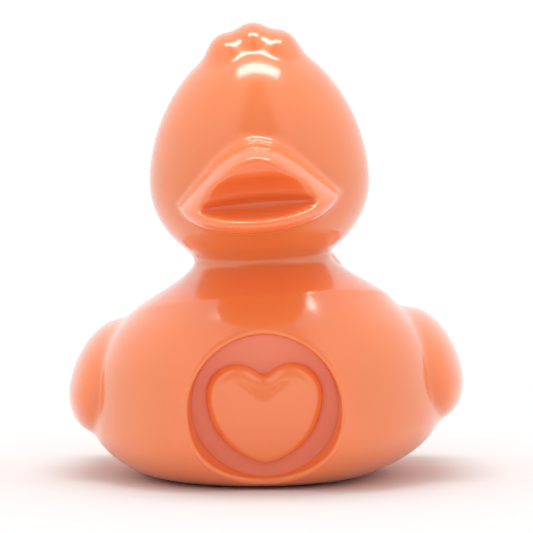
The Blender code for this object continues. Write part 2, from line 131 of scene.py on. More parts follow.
# %% Turning and measuring
def turning(pitch=0.0, roll=0.0, turn=0.0):
    """The matrix that turns about X by pitch, then about Y by roll, then about Z by turn, in degrees."""
    angles = np.radians((pitch, roll, turn))
    (ca, cb, cc), (sa, sb, sc) = np.cos(angles), np.sin(angles)
    about_x = np.array([[1, 0, 0], [0, ca, -sa], [0, sa, ca]])
    about_y = np.array([[cb, 0, sb], [0, 1, 0], [-sb, 0, cb]])
    about_z = np.array([[cc, -sc, 0], [sc, cc, 0], [0, 0, 1]])
    return about_z @ about_y @ about_x


def power_sum(a, b, power):
    """(a^power + b^power)^(1/power), which for the power 2 is the plain length of (a, b)."""
    if np.ndim(power) == 0 and power == 2.0:
        return np.hypot(a, b)
    return (a**power + b**power) ** (1.0 / power)


def ball(
    points, half_width, front, back, up, down, outline=2.0, full_front=2.0, apex=None, depth_power=2.0
):
    """Distance to a stretched ball, in mm and below 0 inside.

    The gauge g is the power sum of width, height and depth, each divided by its size. The surface is at g = 1,
    and g (g - 1) divided by the length of (width, height, depth) over their sizes squared is close to the true
    distance there.
    """
    x, y, z = points[..., 0], points[..., 1], points[..., 2]
    depth_size, height_size = np.where(y < 0, front, back), np.where(z > 0, up, down)
    wide, deep, tall = np.abs(x) / half_width, np.abs(y) / depth_size, np.abs(z) / height_size
    ring = np.hypot(wide, tall)
    if apex:
        ring = np.where(z > 0, power_sum(wide + np.maximum(z, 0) / apex, tall, GABLE_ROUNDING), ring)
    elif outline != 2.0:
        ring = np.where(z > 0, power_sum(wide, tall, outline), ring)
    if full_front != 2.0:
        upright = tall**2 / (wide**2 + tall**2 + 1e-12)
        gauge = power_sum(ring, deep, np.where(y < 0, 2.0 + (full_front - 2.0) * upright, 2.0))
    else:
        gauge = power_sum(ring, deep, depth_power)
    steepness = np.sqrt((wide / half_width) ** 2 + (deep / depth_size) ** 2 + (tall / height_size) ** 2)
    return gauge * (gauge - 1.0) / (steepness + 1e-9)


unit_ball = ball(np.array([[0, 0, 0.5], [2.0, 0, 0]]), 1, 1, 1, 1, 1)
print("a unit ball measures", np.round(unit_ball, 3), "half inside and one outside")


# %% Melting masses together
def melt(a, b, radius):
    """The smooth minimum: the smaller distance, lowered by up to radius / 4 where the two are alike."""
    share = np.clip(0.5 + 0.5 * (b - a) / radius, 0.0, 1.0)
    return b + (a - b) * share - radius * share * (1.0 - share)


def carve(a, b, radius):
    """What is left of a where b is taken away, with the edge rounded: minus the melt of minus a and b."""
    return -melt(-a, b, radius)


def seen_from(points, place, matrix=None):
    """The points in a mass's own directions, measured from its place."""
    local = points - np.asarray(place)
    return local if matrix is None else local @ matrix


print("two walls 0 mm away melt to", melt(0.0, 0.0, 2.0), "mm")

# %% [markdown]
# ## The duck as one formula
#
# The trunk comes first: hull, breast, neck and head melt together softly, as thick clay does. The hull's stern
# and the breast's bow are swept up with the square of the way to their ends. The trunk alone also shapes the
# hollow inside the shell, because wings, bill, tail and crest are cast nearly solid.

# %% The trunk
def neck_distance(points):
    """Distance to a turned column: the way out from its axis less its radius, which flares below."""
    local = seen_from(points, (0.0, -NECK_FORWARD, NECK["waist_height"]), turning(NECK_PITCH, NECK_ROLL))
    local = local + (0.0, 0.0, NECK["waist_height"])
    below = np.clip((NECK["waist_height"] - local[..., 2]) / NECK["flare_height"], 0.0, NECK_FLARE_REACH)
    ahead = np.maximum(-local[..., 1], 0.0) / (np.hypot(local[..., 0], local[..., 1]) + 1e-6)
    flare = NECK["flare"] * (1.0 - (1.0 - NECK_FRONT_SHARE) * ahead**2)
    radius = NECK["waist_radius"] + flare * below ** NECK["curve"]
    out = np.hypot(local[..., 0], local[..., 1] / NECK["depth_ratio"]) - radius
    foot = NECK["waist_height"] - NECK_FLARE_REACH * NECK["flare_height"]
    return np.maximum(NECK_SLACK * out, np.maximum(local[..., 2] - NECK_TOP, foot - local[..., 2]))


def lowered(local, lift, reach, towards):
    """The points before the sweep that lifts one end with the square of the share of the way there."""
    share = np.maximum(0.0, local[..., 1] * towards) / reach
    out = local.copy()
    out[..., 2] -= lift * np.minimum(share, LIFT_REACH) ** 2
    return out


def trunk_distance(points):
    """Hull, breast, neck and head, melted together."""
    hull = ball(lowered(seen_from(points, HULL_PLACE), STERN_LIFT, HULL["back"], 1), **HULL)
    from_breast = seen_from(points, BREAST_PLACE, turning(roll=BREAST_ROLL))
    breast = ball(lowered(from_breast, BOW_LIFT, BREAST["front"], -1), **BREAST)
    body = melt(hull, breast, HULL_MELT)
    upper = melt(neck_distance(points), ball(seen_from(points, HEAD_PLACE), **HEAD), HEAD_MELT)
    return melt(body, upper, NECK_MELT)


depth_of_middle = -trunk_distance(np.array([[0.0, 0.0, 20.0]]))
print("the trunk's surface is", np.round(depth_of_middle, 1), "mm from the middle of the body")

# %% [markdown]
# The limbs melt on with smaller radii, so that a fine crease stays where a wing meets the hull. A feather tip
# is a small ball at the wing's trailing edge. It is placed in the wing's own directions, so it moves with the
# wing. The mouth is carved from the front of the bill by a leaning copy of the bill's own outline. Inside it
# lie a dished palate and the slot between the bill's halves.

# %% The limbs
def wing_distance(points, side):
    """A flat drop on one side (+1 or -1) with its three feather tips."""
    matrix = turning(WING_PITCH, -side * WING_LEAN_IN, side * WING_TOE_IN)
    local = seen_from(points, (side * WING_OUT, WING_BACK_SET, WING_HEIGHT + side * WING_SKEW), matrix)
    distance = ball(local, **WING)
    tip = dict(half_width=WING["half_width"] * FEATHER_SHARE, front=FEATHER_LENGTH, back=FEATHER_LENGTH,
               up=FEATHER_RADIUS, down=FEATHER_RADIUS)
    for row in (-1.0, 0.0, 1.0):
        back = WING["back"] - FEATHER_RADIUS - abs(row) * FEATHER_STAGGER
        feather = seen_from(local, (0.0, back, row * FEATHER_PITCH), turning(FEATHER_FAN * row))
        distance = melt(distance, ball(feather, **tip), FEATHER_MELT)
    return distance


def crown_height(across):
    """The height of the head's outline over its middle, this far to the side."""
    power = HEAD["outline"]
    return HEAD["up"] * (1.0 - (abs(across) / HEAD["half_width"]) ** power) ** (1.0 / power)


def crest_distance(points):
    """Three round locks side by side over the crown."""
    distance = np.full(points.shape[:-1], 1e3)
    for index in (-1, 0, 1):
        across = LOCK_ASIDE + index * LOCK_PITCH
        sunk = LOCK_SINK + LOCK_STEP * abs(index)
        forward = HEAD_PLACE[1] - LOCK_STAGGER * abs(across)
        place = (across, forward, HEAD_PLACE[2] + crown_height(across) - sunk)
        lock = ball(seen_from(points, place, turning(LOCK_SWEEP, across * LOCK_SPLAY)), **LOCK)
        distance = melt(distance, lock, LOCK_MELT)
    return distance


def bill_frame(forward, slope=0.0, raised=0.0):
    """The place and the turning of a form this far in front of the bill's root, raised over its axis."""
    droop = math.radians(BILL_DROOP)
    height = BILL_ROOT[1] + raised - forward * math.sin(droop)
    place = (0.0, -BILL_ROOT[0] - forward * math.cos(droop), height)
    return place, turning(BILL_DROOP + slope, BILL_TILT)


def tail_distance(points):
    """The tail fan, pitched up and turned a little to the duck's left."""
    swing = math.radians(TAIL_TURN)
    place = (TAIL_ROOT[0] * math.sin(swing), TAIL_ROOT[0] * math.cos(swing), TAIL_ROOT[1])
    return ball(seen_from(points, place, turning(TAIL_PITCH, 0.0, -TAIL_TURN)), **TAIL)


print("limbs ready; the crown stands", round(HEAD_PLACE[2] + crown_height(0.0), 1), "mm high")


# %% The whole duck before its pocket is sunk
LEAN = turning(roll=BODY_LEAN)


def duck_distance(points):
    """Trunk and limbs melted together, less the mouth, and cut off flat at the height 0 of the frame."""
    distance = melt(trunk_distance(points), tail_distance(points), TAIL_MELT)
    softness = WING_MELT + WING_TOP_MELT * np.clip((points[..., 2] - WING_TOP_FROM) / WING_TOP_RISE, 0.0, 1.0)
    for side in (1, -1):
        distance = melt(distance, wing_distance(points, side), softness)
    distance = melt(distance, crest_distance(points), CREST_MELT)
    distance = melt(distance, ball(seen_from(points, *bill_frame(0.0)), **BILL), BILL_MELT)
    mouth = ball(seen_from(points, *bill_frame(MOUTH_FORWARD, MOUTH_SLOPE)), **MOUTH)
    distance = carve(distance, mouth, MOUTH_ROUNDING)
    palate = ball(seen_from(points, *bill_frame(PALATE_FORWARD, raised=PALATE_RAISE)), **PALATE)
    distance = carve(distance, palate, PALATE_ROUNDING)
    slot = ball(seen_from(points, *bill_frame(SLOT_FORWARD, raised=SLOT_RAISE)), **SLOT)
    distance = carve(distance, slot, SLOT_ROUNDING)
    return carve(distance, points @ LEAN[2], BASE_ROUNDING)


three_points = np.array([[0, 0, 20.0], [0, 0, -1], [0, -60.0, 50]])
print("duck formula at three points:", np.round(duck_distance(three_points), 1))

# %% [markdown]
# ## A comb of rays
#
# A ray runs from a point inside the duck to a guide point near its surface, and the skin's vertex is where it
# leaves the clay. If all rays came from one middle point, the neck would hide the shoulders. So the inner
# points climb from the body to the head, row by row. The table lists both ends for the front, the side and the
# back, and the rays between follow the square of the cosine. Rows are then spaced by the distance that they
# cover, so the grid stays even, and columns stand closer at the front.

# %% The comb's table
# Each row: the axis's y, then inner radius and height, outer radius and height for front, side and back.
COMB = np.array([
    [9.0, 2.2, 5, 2.2, 0, 2.2, 5, 2.2, 0, 2.2, 5, 2.2, 0],
    [5.0, 8, 8, 14, 0, 5, 8, 9, 0, 7, 8, 12, 0],
    [1.0, 14, 13, 28, 0, 9, 13, 18, 0, 9, 13, 18, 0],
    [0.0, 16, 16, 33, 5, 14, 16, 28, 5, 13, 16, 27, 5],
    [0.0, 18, 20, 38, 17, 16, 18, 36, 17, 18, 17, 38.5, 17],
    [0.0, 18, 22, 37.5, 26, 14, 20, 31, 26, 20, 18, 45.5, 38.5],
    [-2.0, 14, 22, 29, 33, 9, 22, 21.5, 33, 16, 20, 28, 33.5],
    [-6.0, 8, 30, 17, 39.5, 7, 30, 14, 38, 6, 29, 12, 36.5],
    [-8.5, 5, 43.5, 13, 43, 5, 41.5, 12.5, 41, 5, 39.5, 13, 39],
    [-9.0, 6, 50, 17, 45.3, 6, 50, 16, 44.5, 6, 50, 16, 43.5],
    [-10.0, 8, 51, 26, 47, 6, 52, 19.5, 50.5, 6, 52, 20, 50.5],
    [-10.0, 9, 52, 32.5, 48.5, 6, 53, 20.2, 54, 6, 53, 20.2, 54],
    [-10.0, 10, 53, 31, 55, 6, 54, 20, 58.5, 6, 54, 20, 58.5],
    [-10.0, 10, 54, 31, 62, 6, 55, 19.3, 63, 6, 55, 19.3, 63],
    [-10.0, 8, 55, 20, 65.5, 6, 56, 18, 67, 6, 56, 18, 67],
    [-10.0, 6, 57, 17.3, 71, 5, 58, 15.5, 72, 5, 58, 15.5, 72],
    [-10.0, 2, 64, 8, 79.5, 2, 64, 8, 79.5, 2, 64, 8, 79.5],
    [-10.0, 0, 70, 0, 83, 0, 70, 0, 83, 0, 70, 0, 83],
])
COLUMNS = 336
CROWDING = 0.5
MARCH_STEPS, MARCH_SHARE = 44, 0.8
print("comb:", len(COMB), "key rows")


# %% From the table to rays
def azimuth(column):
    """Column number to angle: evenly spread, less a sine that crowds the columns at the front."""
    turn = column / COLUMNS
    return -np.pi / 2 + 2 * np.pi * turn - CROWDING * np.sin(2 * np.pi * turn)


def comb_rays(column, way):
    """Inner and outer ends of the ray in this column, where way runs from 0 to the table's last row."""
    angle, way = np.broadcast_arrays(azimuth(column), way)
    row = np.clip(way.astype(int), 0, len(COMB) - 2)
    share = (way - row)[..., None]
    keys = COMB[row] * (1 - share) + COMB[row + 1] * share
    ahead = -np.sin(angle)
    front, back = np.maximum(ahead, 0) ** 2, np.maximum(-ahead, 0) ** 2
    weights = np.stack([front, 1 - front - back, back], axis=-1)
    ends = np.einsum("...k,...kn->...n", weights, keys[..., 1:].reshape(*angle.shape, 3, 4))
    across, along = np.cos(angle), np.sin(angle)
    inner = np.stack([ends[..., 0] * across, keys[..., 0] + ends[..., 0] * along, ends[..., 1]], axis=-1)
    outer = np.stack([ends[..., 2] * across, keys[..., 0] + ends[..., 2] * along, ends[..., 3]], axis=-1)
    return inner, outer


def march(inner, outer, distance):
    """Where each ray leaves the shape: every step goes a share of the distance that is still left."""
    direction = outer - inner
    direction /= np.linalg.norm(direction, axis=-1, keepdims=True)
    travelled = np.zeros(inner.shape[:-1])
    for _ in range(MARCH_STEPS):
        travelled -= MARCH_SHARE * distance(inner + direction * travelled[..., None])
    return inner + direction * travelled[..., None]


front_ray = march(*comb_rays(np.zeros(1), np.array([4.0])), duck_distance)
print("the ray ahead at key row 4 leaves the breast at", np.round(front_ray[0], 2), "mm")

# %% Space the rows by the distance they cover
HEART_CENTRE_WAY, BLOCK_LOW_WAY, BLOCK_HIGH_WAY = 3.86, 1.8, 6.15
BLOCK = 52
ROWS_BELOW, ROWS_ABOVE = 14, 160
SPACING_SAMPLES, SPACING_COLUMNS = 160, 24
FRONT_WEIGHT, FRONT_NARROWNESS = 2.0, 8


def even_ways(start, end, count):
    """count + 1 ways from start to end, spaced so that each step covers the same mean distance on the skin."""
    ways = np.linspace(start, end, SPACING_SAMPLES)
    columns = np.linspace(0, COLUMNS, SPACING_COLUMNS, endpoint=False)
    points = march(*comb_rays(columns[None, :], ways[:, None]), duck_distance)
    steps = np.linalg.norm(np.diff(points, axis=0), axis=-1)
    weights = 1.0 + FRONT_WEIGHT * np.cos(azimuth(columns) / 2 + np.pi / 4) ** FRONT_NARROWNESS
    covered = np.concatenate([[0.0], np.cumsum((steps * weights).sum(axis=1))])
    return np.interp(np.linspace(0, covered[-1], count + 1), covered, ways)


row_ways = np.concatenate([
    even_ways(0.0, BLOCK_LOW_WAY, ROWS_BELOW)[:-1],
    even_ways(BLOCK_LOW_WAY, HEART_CENTRE_WAY, BLOCK)[:-1],
    even_ways(HEART_CENTRE_WAY, BLOCK_HIGH_WAY, BLOCK)[:-1],
    even_ways(BLOCK_HIGH_WAY, len(COMB) - 1.0, ROWS_ABOVE),
])
print("skin grid:", len(row_ways), "rows of", COLUMNS, "columns")

# %% [markdown]
# ## The pocket and the heart
#
# Round the pocket the square grid is combed into rings: the ring number is the larger of the steps sideways
# and the steps up, and the place along the square becomes an angle. Inner rings follow the heart's outline,
# then the pocket's floor, wall and lip, and the outer rings lead back to the comb of the body.

# %% The heart's outline
ARC_POINTS = 24


def heart_outline():
    """Points round the heart: a hollow arc at the notch, a round lobe, a full side and a round tip.

    The notch's arc touches both lobes, and each side is the wide arc that touches a lobe and the tip.
    """
    lobe = np.array([HEART_LOBE_SPREAD, HEART_LOBE_RAISE])
    reach = HEART_LOBE_RADIUS + HEART_NOTCH_RADIUS
    notch = np.array([0.0, HEART_LOBE_RAISE + math.sqrt(reach**2 - HEART_LOBE_SPREAD**2)])
    tip = np.array([0.0, HEART_LOBE_RAISE - HEART_TIP_DROP])
    to_lobe = math.atan2(lobe[1] - notch[1], lobe[0])
    to_tip = tip - lobe
    length = math.hypot(*to_tip)
    lobe_reach, tip_reach = HEART_SIDE_RADIUS - HEART_LOBE_RADIUS, HEART_SIDE_RADIUS - HEART_TIP_RADIUS
    along = (lobe_reach**2 - tip_reach**2 + length**2) / (2 * length)
    aside = math.sqrt(lobe_reach**2 - along**2)
    side = lobe + to_tip / length * along + np.array([to_tip[1], -to_tip[0]]) / length * aside
    lobe_normal, tip_normal = math.atan2(*(lobe - side)[::-1]), math.atan2(*(tip - side)[::-1])

    def arc(centre, radius, start, end):
        angles = np.linspace(start, end, ARC_POINTS)
        return centre + radius * np.stack([np.cos(angles), np.sin(angles)], axis=-1)

    right = np.concatenate([
        arc(notch, HEART_NOTCH_RADIUS, -math.pi / 2, to_lobe),
        arc(lobe, HEART_LOBE_RADIUS, to_lobe + math.pi, lobe_normal),
        arc(side, HEART_SIDE_RADIUS, lobe_normal, tip_normal),
        arc(tip, HEART_TIP_RADIUS, tip_normal, -math.pi / 2),
    ])
    return np.concatenate([right, (right * (-1, 1))[-2:0:-1]])


def outline_at(angle, inset):
    """The point of the heart's outline at this angle round its middle, moved inwards by inset.

    The inward direction is the outline's own direction turned by a quarter.
    """
    points = heart_outline()[::-1]
    along = np.roll(points, -1, axis=0) - np.roll(points, 1, axis=0)
    along /= np.linalg.norm(along, axis=-1, keepdims=True)
    inwards = np.stack([-along[:, 1], along[:, 0]], axis=-1)
    bearing = np.arctan2(points[:, 1], points[:, 0])
    order = np.argsort(bearing)
    wrapped = (angle + np.pi) % (2 * np.pi) - np.pi

    def read(values):
        return np.interp(wrapped, bearing[order], values[order], period=2 * np.pi)

    x = read(points[:, 0]) + inset * read(inwards[:, 0])
    y = read(points[:, 1]) + inset * read(inwards[:, 1])
    return np.stack([x, y], axis=-1)


print("heart:", np.round(np.ptp(heart_outline(), axis=0), 1), "mm wide and high")

# %% The rings' stations
pitch = math.radians(POCKET_PITCH)
POCKET_CENTRE = np.array([0.0, -POCKET_FLOOR_FORWARD, POCKET_HEIGHT])
POCKET_OUT = np.array([0.0, -math.cos(pitch), -math.sin(pitch)])
POCKET_UP = np.array([0.0, -math.sin(pitch), math.cos(pitch)])
LIP_ROUNDING, FOOT_ROUNDING, LEAST_WALL = 0.7, 0.35, 0.1
SIDE_CURVE, FILLET_CURVE = 1.3, 3
CROWN_RING, SHOULDER_RING, HEART_RING = 9, 16, 20
FLOOR_RING, FOOT_RING, WALL_RING, LIP_RING = 28, 31, 33, 38


def wall_radius(height):
    """The pocket's radius at this height over its floor, which opens with the draft."""
    return POCKET_RADIUS + math.tan(math.radians(POCKET_DRAFT)) * height


def ring_station(ring, angle, skin_height):
    """Place in the pocket's plane, and height over its floor, of ring and angle.

    The heart's crown is a low paraboloid, its shoulder a quarter circle, and its side plain down to a small
    fillet. Then come the flat floor, the fillet at the wall's foot, the wall, and the lip's quarter circle.
    """
    ring = ring.astype(float)
    crown = np.clip(ring / CROWN_RING, 0, 1)
    turn = np.clip((ring - CROWN_RING) / (SHOULDER_RING - CROWN_RING), 0, 1) * np.pi / 2
    inset = HEART_ROUNDING * (1 - np.sin(turn))
    height = HEART_RISE + HEART_CROWN * (1 - crown**2) - HEART_ROUNDING * (1 - np.cos(turn))
    down = np.clip((ring - SHOULDER_RING) / (HEART_RING - SHOULDER_RING), 0, 1)
    height = np.where(ring > SHOULDER_RING, (HEART_RISE - HEART_ROUNDING) * (1 - down) ** SIDE_CURVE, height)
    inset = np.where(ring > SHOULDER_RING, -FOOT_ROUNDING * down**FILLET_CURVE, inset)
    place = outline_at(angle, inset) * crown[..., None]

    circle = np.stack([np.cos(angle), np.sin(angle)], axis=-1)
    gap = np.clip((ring - HEART_RING) / (FLOOR_RING - HEART_RING), 0, 1)[..., None]
    edge = circle * (wall_radius(0.0) - FOOT_ROUNDING)
    place = np.where(ring[..., None] > HEART_RING, place * (1 - gap) + edge * gap, place)

    foot = np.clip((ring - FLOOR_RING) / (FOOT_RING - FLOOR_RING), 0, 1) * np.pi / 2
    radius = wall_radius(0.0) - FOOT_ROUNDING * (1 - np.sin(foot))
    height = np.where(ring > FLOOR_RING, FOOT_ROUNDING * (1 - np.cos(foot)), height)
    wall_top = np.maximum(skin_height - LIP_ROUNDING, FOOT_ROUNDING + LEAST_WALL)
    rise = np.clip((ring - FOOT_RING) / (WALL_RING - FOOT_RING), 0, 1)
    wall_height = FOOT_ROUNDING + (wall_top - FOOT_ROUNDING) * rise
    height = np.where(ring > FOOT_RING, wall_height, height)
    radius = np.where(ring > FOOT_RING, wall_radius(height), radius)
    lip = np.clip((ring - WALL_RING) / (LIP_RING - WALL_RING), 0, 1) * np.pi / 2
    height = np.where(ring > WALL_RING, skin_height - LIP_ROUNDING * (1 - np.sin(lip)), height)
    radius = np.where(ring > WALL_RING, wall_radius(wall_top) + LIP_ROUNDING * (1 - np.cos(lip)), radius)
    place = np.where(ring[..., None] > FLOOR_RING, circle * radius[..., None], place)
    return place, height


print("rings: heart to", HEART_RING, ", floor to", FLOOR_RING, ", wall to", WALL_RING, ", lip to", LIP_RING)


# %% Comb the block round the pocket
SPOKE_RIM, SPOKE_START, SPOKE_END, SPOKE_CURVE = 2.5, -9.0, 3.5, 1.15


def pocket_point(place, height):
    """A point of the pocket's plane at this height over its floor, in the duck's posture."""
    x, y = place[..., 0, None], place[..., 1, None]
    in_plane = POCKET_CENTRE + x * np.array([1.0, 0, 0]) + y * POCKET_UP
    return in_plane + np.asarray(height)[..., None] * POCKET_OUT


steps_aside, steps_up = np.meshgrid(np.arange(-BLOCK, BLOCK + 1), np.arange(-BLOCK, BLOCK + 1))
ring = np.maximum(np.abs(steps_aside), np.abs(steps_up))
safe = np.maximum(ring, 1)
along = np.select(
    [steps_aside == ring, steps_up == ring, steps_aside == -ring],
    [steps_up / safe, 2 - steps_aside / safe, 4 - steps_up / safe],
    6 + steps_aside / safe,
)
ring_angle = along * np.pi / 4
middle_row = ROWS_BELOW + BLOCK

# the ends of the rays on the block's border, read along the same spoke
spoke_column = steps_aside / safe * BLOCK
spoke_way = np.interp(middle_row + steps_up / safe * BLOCK, np.arange(len(row_ways)), row_ways)
border_inner, border_outer = comb_rays(spoke_column, spoke_way)
reach = np.clip((ring - LIP_RING) / (BLOCK - LIP_RING), 0, 1)
rim_radius = wall_radius(SPOKE_RIM) + LIP_ROUNDING
circle_place = np.stack([np.cos(ring_angle), np.sin(ring_angle)], axis=-1) * rim_radius
blend = (reach**SPOKE_CURVE)[..., None]
rim_inner = pocket_point(circle_place, np.full(ring.shape, SPOKE_START))
rim_outer = pocket_point(circle_place, np.full(ring.shape, SPOKE_END))
block_inner = rim_inner * (1 - blend) + border_inner * blend
block_outer = rim_outer * (1 - blend) + border_outer * blend
print("block of", 2 * BLOCK, "by", 2 * BLOCK, "cells round the pocket")

# %% March all rays and lay the rings
grid_column = np.arange(COLUMNS) - COLUMNS // 2
inner, outer = comb_rays(grid_column[None, :], row_ways[:, None])
rows = slice(middle_row - BLOCK, middle_row + BLOCK + 1)
columns = slice(COLUMNS // 2 - BLOCK, COLUMNS // 2 + BLOCK + 1)
inner[rows, columns], outer[rows, columns] = block_inner, block_outer
skin = march(inner, outer, duck_distance)
block_skin = skin[rows, columns]
skin_height = (block_skin - POCKET_CENTRE) @ POCKET_OUT
place, height = ring_station(ring, ring_angle, skin_height)
laid = pocket_point(place, height)
skin[rows, columns] = np.where((ring <= LIP_RING)[..., None], laid, block_skin)
skin[-1] = skin[-1].mean(axis=0)
left_over = float(np.abs(duck_distance(skin[middle_row + BLOCK:])).max())
print("left over distance:", round(left_over, 4), "mm above the pocket")

# %% [markdown]
# ## The shell
#
# The duck is hollow, and air goes in and out through a small round vent in the base. The skin turns into the
# vent at its lowest ring and runs on as the cavity's wall, one even thickness below the trunk's outside. The
# cavity is seen by nobody, so it has a quarter of the columns.

# %% The cavity
INSIDE_STEP = 4
INSIDE_COLUMNS = COLUMNS // INSIDE_STEP
INSIDE_ROWS = 40
BACKING_ROUNDING = 1.0


def cavity_distance(points):
    """The trunk one wall further in, above the base's wall and behind the pocket's backing."""
    local = points - POCKET_CENTRE
    ahead = local @ POCKET_OUT
    aside = np.linalg.norm(local - ahead[..., None] * POCKET_OUT, axis=-1)
    backing = np.maximum(aside - POCKET_RADIUS - WALL, -WALL - ahead)
    hollow = carve(trunk_distance(points) + WALL, points @ LEAN[2] - WALL, BASE_ROUNDING)
    return carve(hollow, backing, BACKING_ROUNDING)


inside_ways = np.interp(np.linspace(0, len(row_ways) - 1, INSIDE_ROWS), np.arange(len(row_ways)), row_ways)
inside_columns = grid_column[::INSIDE_STEP]
inside = march(*comb_rays(inside_columns[None, :], inside_ways[:, None]), cavity_distance)
inside[-1] = inside[-1].mean(axis=0)
print("cavity:", INSIDE_ROWS, "rows of", INSIDE_COLUMNS, "columns")

# %% The vent, the faces and the mesh
angles = azimuth(grid_column)
spokes = np.stack([np.cos(angles), np.sin(angles), np.zeros(COLUMNS)], axis=-1)
vent_centre = np.array([0.0, VENT_BACK_SET, 0.0])
VENT_ROUNDING, VENT_EASE = 0.3, 0.1
vent_rings = [
    (VENT_RADIUS + VENT_ROUNDING, 0.0),
    (VENT_RADIUS + VENT_EASE, VENT_EASE),
    (VENT_RADIUS, VENT_ROUNDING),
    (VENT_RADIUS, WALL - VENT_ROUNDING),
]
vent = np.stack([vent_centre + spokes * radius + (0, 0, height) for radius, height in vent_rings[::-1]])
skin_world, inside_world = skin @ LEAN.T, inside @ LEAN.T
skin_world[0] = vent[-1]
inside_world[0] = vent_centre + spokes[::INSIDE_STEP] * (VENT_RADIUS + VENT_ROUNDING) + (0, 0, WALL)
outside = np.concatenate([vent[:-1], skin_world[:-1]])


def ring_quads(rings, count, start, flip=False):
    """The quads between each ring of count vertices and the next one, numbered from start."""
    low = start + np.arange(rings - 1)[:, None] * count + np.arange(count)
    after = start + np.arange(rings - 1)[:, None] * count + (np.arange(count) + 1) % count
    quads = np.stack([low, after, after + count, low + count], axis=-1).reshape(-1, 4)
    return quads[:, ::-1] if flip else quads


def pole_fan(ring_start, count, pole, flip=False):
    """The triangles from the last ring to the pole's single vertex."""
    first = ring_start + np.arange(count)
    after = ring_start + (np.arange(count) + 1) % count
    fan = np.stack([first, after, np.full(count, pole)], axis=-1)
    return fan[:, ::-1] if flip else fan


outside_count = len(outside) * COLUMNS
crown = outside_count
inside_start = crown + 1
inside_count = (INSIDE_ROWS - 1) * INSIDE_COLUMNS
inside_pole = inside_start + inside_count
vertices = np.concatenate([
    outside.reshape(-1, 3), skin_world[-1:, 0], inside_world[:-1].reshape(-1, 3), inside_world[-1:, 0]
]) * MM
first = INSIDE_STEP * np.arange(INSIDE_COLUMNS)
step = [(first + k) % COLUMNS for k in range(INSIDE_STEP, -1, -1)]
after = (np.arange(INSIDE_COLUMNS) + 1) % INSIDE_COLUMNS
rim = np.stack(step + [inside_start + np.arange(INSIDE_COLUMNS), inside_start + after], axis=-1)
faces = [
    *ring_quads(len(outside), COLUMNS, 0).tolist(),
    *pole_fan(outside_count - COLUMNS, COLUMNS, crown).tolist(),
    *ring_quads(INSIDE_ROWS - 1, INSIDE_COLUMNS, inside_start, flip=True).tolist(),
    *pole_fan(inside_pole - INSIDE_COLUMNS, INSIDE_COLUMNS, inside_pole, flip=True).tolist(),
    *rim.tolist(),
]
mesh = bpy.data.meshes.new("vinyl_skin")
mesh.from_pydata(vertices, [], faces)
mesh.shade_smooth()
mesh.validate()
duck = bpy.data.objects.new("vinyl_skin", mesh)
bpy.context.scene.collection.objects.link(duck)
triangles = sum(len(face) - 2 for face in faces)
print("skin:", len(vertices), "vertices and", triangles, "triangles")

# %% [markdown]
# ## The vinyl
#
# Soft vinyl is dyed right through. Light enters a little way and comes out warmer, so thin edges and folds
# glow, and its skin is smooth enough to mirror a window. Subsurface scattering gives the first, and a low
# roughness with a clear coat the second. The pocket's floor comes from a blasted face of the mould, so it is
# matt and finely grained. A mask worked out from Object coordinates tells the two apart.

# %% Node helpers
def add_node(tree, kind, inputs=(), **settings):
    """A shader node with its settings, whose inputs are numbers or other nodes' sockets."""
    node = tree.nodes.new(kind)
    for name, value in settings.items():
        setattr(node, name, value)
    for key, value in dict(inputs).items():
        if isinstance(value, bpy.types.NodeSocket):
            tree.links.new(value, node.inputs[key])
        else:
            node.inputs[key].default_value = value
    return node


def arithmetic(tree, operation, a, b=0.0, c=0.0):
    """A Math node, as its output socket."""
    return add_node(tree, "ShaderNodeMath", {0: a, 1: b, 2: c}, operation=operation).outputs[0]


print("helpers ready")

# %% The vinyl's nodes
VINYL_COLOUR = (0.94, 0.22, 0.055, 1.0)
FLOOR_COLOUR = (0.96, 0.215, 0.10, 1.0)
MASK_HEIGHT, MASK_SPREAD, MASK_DEPTH = 0.12, 0.2, 1.0
MOTTLE_SCALE, MOTTLE_DETAIL, MOTTLE_SHADE, MOTTLE_GLOSS = 60.0, 3.0, 0.08, 0.06
SPECKLE_SCALE, SPECKLE_DETAIL, SPECKLE_HEIGHT = 900.0, 2.0, 0.2
VINYL_ROUGHNESS, FLOOR_ROUGHNESS_ADDED = 0.17, 0.45
VINYL_GRAIN, FLOOR_GRAIN_ADDED = 0.015, 0.35
vinyl = bpy.data.materials.new("orange_vinyl_glossy")
vinyl.use_nodes = True
tree = vinyl.node_tree
shader = tree.nodes["Principled BSDF"]
coordinates = add_node(tree, "ShaderNodeTexCoord").outputs["Object"]


def world_vector(vector):
    """A direction or point of the duck's posture, turned into the frame."""
    return tuple(float(v) for v in LEAN @ np.asarray(vector))


from_floor = add_node(
    tree, "ShaderNodeVectorMath", {0: coordinates, 1: world_vector(POCKET_CENTRE * MM)}, operation="SUBTRACT"
).outputs[0]
height_out = add_node(
    tree, "ShaderNodeVectorMath", {0: from_floor, 1: world_vector(POCKET_OUT)}, operation="DOT_PRODUCT"
).outputs["Value"]
distance_out = add_node(tree, "ShaderNodeVectorMath", {0: from_floor}, operation="LENGTH").outputs["Value"]
near_floor = arithmetic(tree, "LESS_THAN", height_out, MASK_HEIGHT * MM)
within = arithmetic(tree, "LESS_THAN", distance_out, (POCKET_RADIUS + MASK_SPREAD) * MM)
above_back = arithmetic(tree, "GREATER_THAN", height_out, -MASK_DEPTH * MM)
floor_mask = arithmetic(tree, "MULTIPLY", arithmetic(tree, "MULTIPLY", near_floor, within), above_back)


def noise(scale, detail):
    """Soft noise over the skin, as an output socket."""
    settings = {"Vector": coordinates, "Scale": scale, "Detail": detail}
    return add_node(tree, "ShaderNodeTexNoise", settings).outputs["Fac"]


